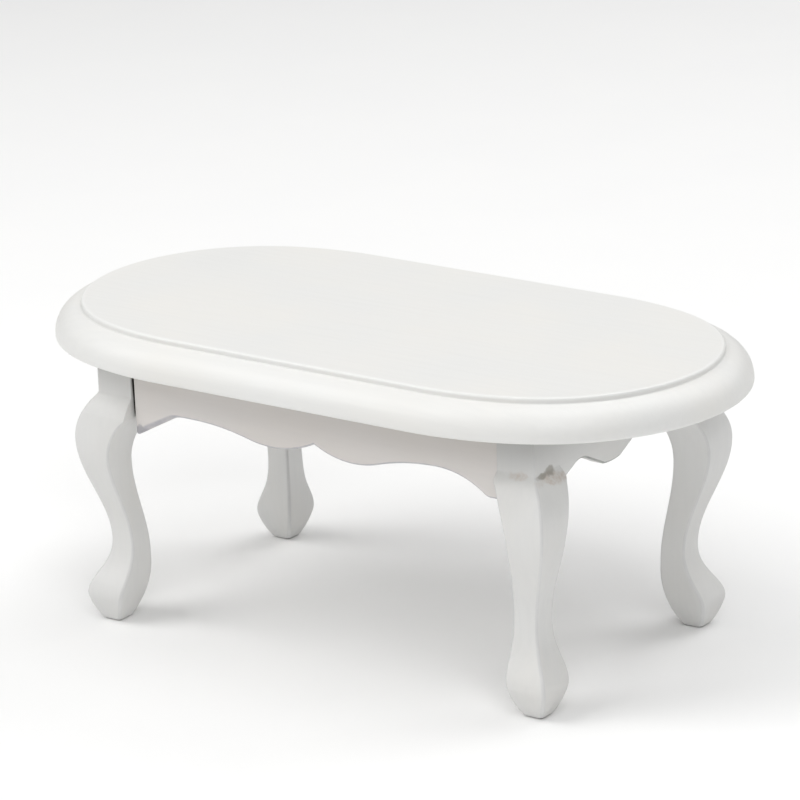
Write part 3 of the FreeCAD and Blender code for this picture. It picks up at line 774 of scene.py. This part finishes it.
def make_aprons(material, end_material):
    """Make the four aprons. The front one stops short of its left post."""
    made = []
    for name, side in (("long_apron_front", -1), ("long_apron_back", 1)):
        low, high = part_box(name)
        face = low.y if side < 0 else high.y
        half_length = max(-low.x, high.x)
        gap = half_length + low.x if side < 0 else 0
        edge = long_apron_edge(half_length, gap)

        def place(along, level, depth, side=side, face=face):
            return Vector((-side * along, face - side * depth, level))

        lower_arris = worn_arris if side < 0 else even_arris
        axis = Vector((-side, 0, 0))
        made.append(make_apron(name, edge, LONG_PEG_LEVEL, place, axis, lower_arris, material))
    for name, side in (("end_apron_right", 1), ("end_apron_left", -1)):
        low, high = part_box(name)
        face = high.x if side > 0 else low.x
        edge = end_apron_edge(high.y)

        def place(along, level, depth, side=side, face=face):
            return Vector((face - side * depth, side * along, level))

        axis = Vector((0, side, 0))
        made.append(make_apron(name, edge, END_PEG_LEVEL, place, axis, even_arris, end_material))
    return made


# ---------------------------------------------------------------- materials

class Paint:
    """Builds one node material step by step."""

    def __init__(self, name):
        self.material = bpy.data.materials.new(name)
        self.material.use_nodes = True
        self.tree = self.material.node_tree
        self.shader = self.tree.nodes["Principled BSDF"]
        self.place = self.node("ShaderNodeTexCoord").outputs["Object"]

    def node(self, kind, **settings):
        made = self.tree.nodes.new(kind)
        for key, value in settings.items():
            setattr(made, key, value)
        return made

    def link(self, source, target):
        self.tree.links.new(source, target)

    def stretched(self, scale):
        """Give the place with each axis scaled, so that a pattern runs along the grain."""
        mapping = self.node("ShaderNodeMapping")
        mapping.inputs["Scale"].default_value = scale
        self.link(self.place, mapping.inputs["Vector"])
        return mapping.outputs["Vector"]

    def noise(self, vector, scale, detail=3.0, roughness=0.5):
        made = self.node("ShaderNodeTexNoise")
        made.inputs["Scale"].default_value = scale
        made.inputs["Detail"].default_value = detail
        made.inputs["Roughness"].default_value = roughness
        self.link(vector, made.inputs["Vector"])
        return made.outputs["Fac"]

    def range(self, value, from_low, from_high, to_low, to_high, smooth=False):
        made = self.node("ShaderNodeMapRange")
        if smooth:
            made.interpolation_type = "SMOOTHSTEP"
        for key, number in (("From Min", from_low), ("From Max", from_high),
                            ("To Min", to_low), ("To Max", to_high)):
            made.inputs[key].default_value = number
        self.link(value, made.inputs["Value"])
        return made.outputs["Result"]

    def maths(self, operation, first, second):
        made = self.node("ShaderNodeMath", operation=operation)
        for socket, value in zip(made.inputs, (first, second)):
            if isinstance(value, (int, float)):
                socket.default_value = value
            else:
                self.link(value, socket)
        return made.outputs["Value"]

    def mix(self, factor, first, second):
        made = self.node("ShaderNodeMix", data_type="RGBA")
        for key, value in (("Factor", factor), ("A", first), ("B", second)):
            socket = next(s for s in made.inputs if s.name == key and s.enabled)
            if isinstance(value, tuple):
                socket.default_value = (*value, 1.0)
            elif isinstance(value, (int, float)):
                socket.default_value = value
            else:
                self.link(value, socket)
        return next(s for s in made.outputs if s.enabled)

    def bump(self, height, distance, strength, before=None):
        made = self.node("ShaderNodeBump")
        made.inputs["Distance"].default_value = distance
        made.inputs["Strength"].default_value = strength
        self.link(height, made.inputs["Height"])
        if before:
            self.link(before, made.inputs["Normal"])
        return made.outputs["Normal"]

    def blot(self, centre, reaches, ragged):
        """Give 1 inside a ragged egg-shaped blot and 0 outside, with a soft edge."""
        away = self.node("ShaderNodeVectorMath", operation="SUBTRACT")
        away.inputs[1].default_value = centre
        self.link(self.place, away.inputs[0])
        scaled = self.node("ShaderNodeVectorMath", operation="DIVIDE")
        scaled.inputs[1].default_value = reaches
        self.link(away.outputs["Vector"], scaled.inputs[0])
        length = self.node("ShaderNodeVectorMath", operation="LENGTH")
        self.link(scaled.outputs["Vector"], length.inputs[0])
        rough = self.maths("ADD", length.outputs["Value"], self.range(ragged, 0.3, 0.7, -0.35, 0.35))
        return self.range(rough, 0.45, 1.0, 1.0, 0.0, smooth=True)

    def axis(self, name):
        """Give one coordinate of the place."""
        parts = self.node("ShaderNodeSeparateXYZ")
        self.link(self.place, parts.inputs["Vector"])
        return parts.outputs[name]


def painted_wood(name, white, grain_scale, saw_marks, arris_tone):
    """White satin paint brushed over wood: soft brush and grain lines, uneven sheen, a tone of its own on
    the arrises, which on the aprons is worn paint and painted shade, and painted shade in grooves.
    """
    paint = Paint(name)
    broad = paint.noise(paint.place, 45.0, detail=2.0)
    grain = paint.noise(paint.stretched(grain_scale), 900.0, detail=4.0, roughness=0.55)
    brush = paint.noise(paint.stretched(grain_scale), 2600.0, detail=3.0)
    stipple = paint.noise(paint.place, 2400.0, detail=2.0)
    darker = tuple(channel * 0.93 for channel in white)
    warmer = (white[0] * 0.98, white[1] * 0.955, white[2] * 0.915)
    colour = paint.mix(paint.range(broad, 0.35, 0.65, 0.0, 0.4), white, warmer)
    colour = paint.mix(paint.range(grain, 0.42, 0.72, 0.0, 0.3), colour, darker)
    arris = paint.node("ShaderNodeAttribute", attribute_name="arris").outputs["Fac"]
    patchy = paint.noise(paint.place, 500.0, detail=3.0)
    # tint toward the arris tone: worn paint, and on the aprons painted shade as well
    arris_tint = paint.maths("MULTIPLY", paint.range(arris, 0.2, 1.0, 0.0, 1.0),
                       paint.range(patchy, 0.3, 0.65, 0.55, 1.0))
    colour = paint.mix(arris_tint, colour, arris_tone)
    # painted shade at the bottom of the groove
    groove_shade = paint.range(arris, -1.0, -0.1, 0.1, 0.0)
    colour = paint.mix(groove_shade, colour, tuple(channel * 0.8 for channel in white))
    rough = paint.range(broad, 0.3, 0.7, 0.40, 0.50)
    rough = paint.maths("ADD", rough, paint.range(grain, 0.3, 0.8, -0.03, 0.06))
    paint.link(rough, paint.shader.inputs["Roughness"])
    normal = paint.bump(grain, 0.03 * MM, 0.5)
    normal = paint.bump(brush, 0.012 * MM, 0.5, before=normal)
    normal = paint.bump(stipple, 0.012 * MM, 0.4, before=normal)
    if saw_marks:
        kerf = paint.noise(paint.stretched((0.04, 0.04, 1.0)), 1500.0, detail=2.0)
        normal = paint.bump(kerf, 0.03 * MM, 0.5, before=normal)
    paint.link(normal, paint.shader.inputs["Normal"])
    paint.shader.inputs["Specular IOR Level"].default_value = 0.45
    return paint, colour


def painted_shade_under_rim(paint, colour, tone):
    """Darken the paint under the overhang of the top with painted shade, stronger to the right: a painted
    shadow of the top.
    """
    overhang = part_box("table_top")[0].z
    height = paint.range(paint.axis("Z"), overhang - PAINTED_SHADE_DROP, overhang, 0.0, 1.0, smooth=True)
    along = paint.range(paint.axis("X"), SHADE_START, SHADE_END, SHADE_LEAST, 1.0)
    return paint.mix(paint.maths("MULTIPLY", height, along), colour, tone)


def in_open_joint(paint):
    """Give 1 inside the open joint at the front left post, where bare wood and painted shade go, and 0
    elsewhere.

    Paint has crept a little way in from the front, further towards the foot of the joint.
    """
    board_low, board_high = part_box("long_apron_front")
    post_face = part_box("leg_front_left")[1].x
    middle, half_gap = (post_face + board_low.x) / 2, (board_low.x - post_face) / 2
    off_middle = paint.maths("ABSOLUTE", paint.maths("SUBTRACT", paint.axis("X"), middle), 0.0)
    inside = paint.maths("LESS_THAN", off_middle, half_gap + JOINT_REACH)
    foot = LEFT_LEGS.bracket_top
    creep = paint.range(paint.axis("Z"), foot, board_high.z, PAINT_CREEP, 0.0)
    depth = paint.maths("SUBTRACT", paint.maths("SUBTRACT", paint.axis("Y"), board_low.y), creep)
    inside = paint.maths("MULTIPLY", inside, paint.range(depth, *CREEP_FADE, 0.0, 1.0))
    inside = paint.maths("MULTIPLY", inside, paint.maths("LESS_THAN", paint.axis("Y"), board_high.y))
    return paint.maths("MULTIPLY", inside, paint.range(paint.axis("Z"), foot, foot + MM, 0.0, 1.0))


def top_paint():
    """Paint of the top board, brushed along the table."""
    paint, colour = painted_wood("white_paint_top", TOP_WHITE, GRAIN_LONG, False, TOP_ARRIS)
    paint.link(colour, paint.shader.inputs["Base Color"])
    return paint.material


def glue_and_crevice_shade(paint, colour):
    """Add the dried glue where the front right post meets its knee: a brown smear of glue, and a dark fleck
    of glue and painted shade in the crevice.
    """
    low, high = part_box("leg_front_right")
    reach = RIGHT_LEGS.knee_reach
    crease = (high.x - reach, low.y + reach, POST_FOOT)
    ragged = paint.noise(paint.place, 420.0, detail=2.0)
    fine = paint.noise(paint.place, 1300.0, detail=3.0)
    cloudy = paint.range(fine, 0.35, 0.65, 0.35, 1.0)

    def blot(offset, reaches):
        """One blot, placed in millimetres from the outer corner of the crease over the knee."""
        centre = [start + away * MM for start, away in zip(crease, offset)]
        return paint.blot(centre, [size * MM for size in reaches], ragged)

    beside = blot((1.0, 4.6, -0.9), (3.6, 4.6, 1.5))
    before = blot((-3.2, 0.0, 0.0), (2.7, 1.6, 1.1))
    for smear, strength in ((beside, SMEAR_STRENGTH), (before, FRONT_SMEAR_STRENGTH)):
        share = paint.maths("MULTIPLY", smear, paint.maths("MULTIPLY", cloudy, strength))
        colour = paint.mix(share, colour, SMEAR_TONE)
    # the dark fleck: glue and painted shade in the crevice
    peak = blot((0.0, 4.9, 0.1), (1.6, 2.3, 1.1))
    tail = blot((0.0, 2.0, -0.1), (1.6, 2.3, 0.6))
    fleck = paint.maths("MAXIMUM", peak, tail)
    return paint.mix(paint.maths("MULTIPLY", fleck, FLECK_STRENGTH), colour, FLECK_GLUE_AND_SHADE)


def leg_paint():
    """Paint of the legs: painted shade under the top, stained with glue with painted shade in its crevice,
    and dark with bare wood and painted shade inside the open joint.
    """
    paint, colour = painted_wood("white_paint_leg", LEG_WHITE, GRAIN_UPRIGHT, True, LEG_ARRIS_TONE)
    # painted shade under the overhang of the top
    colour = painted_shade_under_rim(paint, colour, LEG_PAINTED_SHADE)
    # glue on the front right knee, with painted shade in its crevice
    colour = glue_and_crevice_shade(paint, colour)
    # bare wood and painted shade inside the open joint
    colour = paint.mix(in_open_joint(paint), colour, LEG_JOINT_WOOD_AND_SHADE)
    paint.link(colour, paint.shader.inputs["Base Color"])
    return paint.material


def end_apron_paint():
    """Paint of the end aprons: as white as the legs, but grey along the arrises with worn paint and painted
    shade, and with painted shade under the top.
    """
    paint, colour = painted_wood("white_paint_end_apron", LEG_WHITE, GRAIN_LEVEL, True, END_ARRIS_WEAR_AND_SHADE)
    # painted shade under the overhang of the top
    colour = painted_shade_under_rim(paint, colour, LEG_PAINTED_SHADE)
    paint.link(colour, paint.shader.inputs["Base Color"])
    return paint.material


def apron_paint():
    """Thinner, slightly pinkish paint of the long aprons, rubbed grey with painted shade on the arrises, and
    with painted shade under the top.

    The front one has painted shade at its left foot, beside the open joint.
    """
    paint, colour = painted_wood("white_paint_apron", APRON_WHITE, GRAIN_LEVEL, False, APRON_ARRIS_WEAR_AND_SHADE)
    # painted shade under the overhang of the top
    colour = painted_shade_under_rim(paint, colour, APRON_PAINTED_SHADE)
    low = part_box("long_apron_front")[0]
    ragged = paint.noise(paint.place, 500.0, detail=3.0)
    foot = (low.x + 0.8 * MM, low.y, low.z + 0.9 * MM)
    # painted shade at the left foot, beside the open joint
    foot_shade = paint.blot(foot, (2.4 * MM, 3.0 * MM, 1.5 * MM), ragged)
    colour = paint.mix(paint.maths("MULTIPLY", foot_shade, 0.85), colour, FOOT_PAINTED_SHADE)
    # bare wood and painted shade inside the open joint
    colour = paint.mix(in_open_joint(paint), colour, APRON_JOINT_WOOD_AND_SHADE)
    paint.link(colour, paint.shader.inputs["Base Color"])
    return paint.material


def birch():
    """Bare birch of the pegs: pale, with fine dark flecks along the grain."""
    paint = Paint("bare_birch")
    grain = paint.noise(paint.place, 1400.0, detail=5.0, roughness=0.6)
    fleck = paint.noise(paint.place, 5200.0, detail=2.0)
    colour = paint.mix(paint.range(grain, 0.35, 0.65, 0.0, 1.0), (0.70, 0.52, 0.34), (0.56, 0.38, 0.22))
    colour = paint.mix(paint.range(fleck, 0.6, 0.75, 0.0, 0.5), colour, (0.32, 0.20, 0.11))
    paint.link(colour, paint.shader.inputs["Base Color"])
    paint.link(paint.range(grain, 0.3, 0.7, 0.6, 0.75), paint.shader.inputs["Roughness"])
    paint.link(paint.bump(grain, 0.03 * MM, 0.5), paint.shader.inputs["Normal"])
    return paint.material


# -------------------------------------------------------------------- stage

def make_stage():
    """Lay a plain pale floor."""
    mesh = bpy.data.meshes.new("floor")
    work = bmesh.new()
    bmesh.ops.create_circle(work, cap_ends=True, segments=96, radius=FLOOR_RADIUS)
    work.to_mesh(mesh)
    work.free()
    floor = bpy.data.objects.new("floor", mesh)
    bpy.context.scene.collection.objects.link(floor)
    paper = Paint("pale_paper")
    tone = paper.noise(paper.place, 30.0, detail=2.0)
    colour = paper.mix(tone, (0.97, 0.97, 0.965), (0.95, 0.95, 0.95))
    paper.link(colour, paper.shader.inputs["Base Color"])
    paper.shader.inputs["Roughness"].default_value = 0.9
    paper.shader.inputs["Specular IOR Level"].default_value = 0.1
    mesh.materials.append(paper.material)


def add_softbox(name, position, power, tint=(1.0, 1.0, 1.0)):
    """Hang a large soft light that faces the middle of the table."""
    light = bpy.data.lights.new(name, "AREA")
    light.shape = "DISK"
    light.size = BOX_SIZE
    light.energy = power
    light.color = tint
    lamp = bpy.data.objects.new(name, light)
    lamp.location = position
    lamp.rotation_euler = (Vector(position) - LIT_MIDDLE).to_track_quat("Z", "Y").to_euler()
    bpy.context.scene.collection.objects.link(lamp)


def make_light():
    """Light the table softly from all round, with large high boxes and a dim pale room."""
    add_softbox("left_box", (-0.75, -0.60, 0.95), 8.4, (1.0, 0.995, 0.985))
    add_softbox("right_box", (0.70, -0.70, 0.90), 6.0, (0.99, 0.995, 1.0))
    add_softbox("back_box", (0.35, 0.85, 0.85), 5.0)
    add_softbox("overhead_box", (0.0, 0.05, 1.20), 5.2)
    world = bpy.data.worlds.new("pale_room")
    world.use_nodes = True
    background = world.node_tree.nodes["Background"]
    background.inputs["Color"].default_value = (1.0, 1.0, 1.0, 1.0)
    background.inputs["Strength"].default_value = ROOM_STRENGTH
    bpy.context.scene.world = world
    bpy.context.scene.view_settings.view_transform = "Standard"
    bpy.context.scene.view_settings.look = "None"


def make_camera():
    """Stand the camera at the front right, above the top, a long way off."""
    data = bpy.data.cameras.new("camera")
    data.lens = LENS
    data.sensor_width = 36.0
    data.clip_start, data.clip_end = 0.05, 20.0
    camera = bpy.data.objects.new("camera", data)
    back = Vector((
        math.sin(VIEW_AZIMUTH) * math.cos(VIEW_ELEVATION),
        -math.cos(VIEW_AZIMUTH) * math.cos(VIEW_ELEVATION),
        math.sin(VIEW_ELEVATION),
    ))
    camera.location = LOOK_AT + back * VIEW_DISTANCE
    camera.rotation_euler = back.to_track_quat("Z", "Y").to_euler()
    camera.rotation_euler.rotate_axis("Z", VIEW_ROLL)
    bpy.context.scene.collection.objects.link(camera)
    bpy.context.scene.camera = camera


# ----------------------------------------------------------------- assembly

def main():
    """Make the camera, the stage, and every piece of the table."""
    make_camera()
    make_light()
    make_stage()
    make_top(top_paint())
    leg_material = leg_paint()
    for row, side_y in (("front", -1), ("back", 1)):
        for side, side_x in (("left", -1), ("right", 1)):
            make_leg("leg_%s_%s" % (row, side), side_x, side_y, leg_material)
    make_aprons(apron_paint(), end_apron_paint())
    peg_material = birch()
    for name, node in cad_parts.items():
        if "peg" in name:
            for slot in node.material_slots:
                slot.material = peg_material


main()
